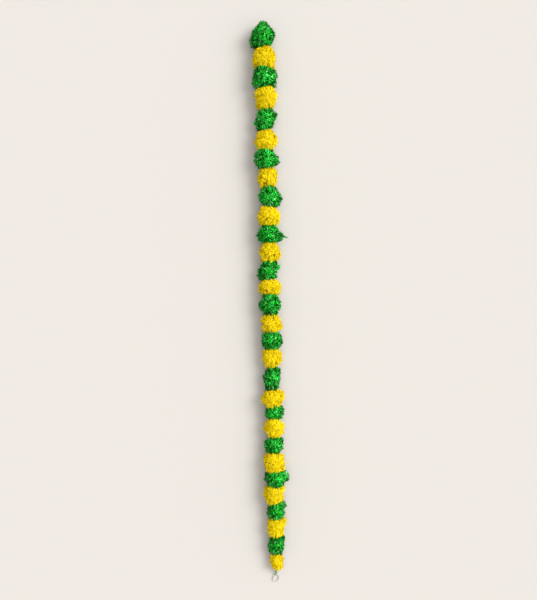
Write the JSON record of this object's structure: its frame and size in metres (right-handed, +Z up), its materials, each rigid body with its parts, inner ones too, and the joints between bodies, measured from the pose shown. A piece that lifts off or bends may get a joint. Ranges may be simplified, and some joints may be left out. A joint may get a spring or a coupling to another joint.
{
  "type": "artificial marigold garland",
  "caption": "Straight garland of fluffy film pompom blooms, green and yellow in turn, strung tight on one cord with a small wire hanging ring.",
  "frame": {"origin": "on the surface the garland rests on, under the middle of its box", "axes": "+Y along the garland towards its pointed end, the ring is at -Y; +Z up from the surface; +X to the right as seen from above with the pointed end up"},
  "size_m": [0.0852, 1.522, 0.062],
  "materials": {
    "green_film": "glossy cut green film with bright light-green glints and dark gaps between the strips",
    "yellow_film": "soft matte yellow film cut in fine strips, ochre where it is shaded",
    "green_cord": "smooth twisted green cord with a soft sheen",
    "ring_wire": "pale grey coated wire"
  },
  "bodies": {
    "root": {"bloom_01_green": "green_film", "bloom_02_yellow": "yellow_film", "bloom_03_green": "green_film", "bloom_04_yellow": "yellow_film", "bloom_05_green": "green_film", "bloom_06_yellow": "yellow_film", "bloom_07_green": "green_film", "bloom_08_yellow": "yellow_film", "bloom_09_green": "green_film", "bloom_10_yellow": "yellow_film", "bloom_11_green": "green_film", "bloom_12_yellow": "yellow_film", "bloom_13_green": "green_film", "bloom_14_yellow": "yellow_film", "bloom_15_green": "green_film", "bloom_16_yellow": "yellow_film", "bloom_17_green": "green_film", "bloom_18_yellow": "yellow_film", "bloom_19_green": "green_film", "bloom_20_yellow": "yellow_film", "bloom_21_green": "green_film", "bloom_22_yellow": "yellow_film", "bloom_23_green": "green_film", "bloom_24_yellow": "yellow_film", "bloom_25_green": "green_film", "bloom_26_yellow": "yellow_film", "bloom_27_green": "green_film", "bloom_28_yellow": "yellow_film", "bloom_29_green": "green_film", "bloom_30_yellow": "yellow_film", "cord": "green_cord", "hanging_ring": "ring_wire"}
  },
  "joints": []
}
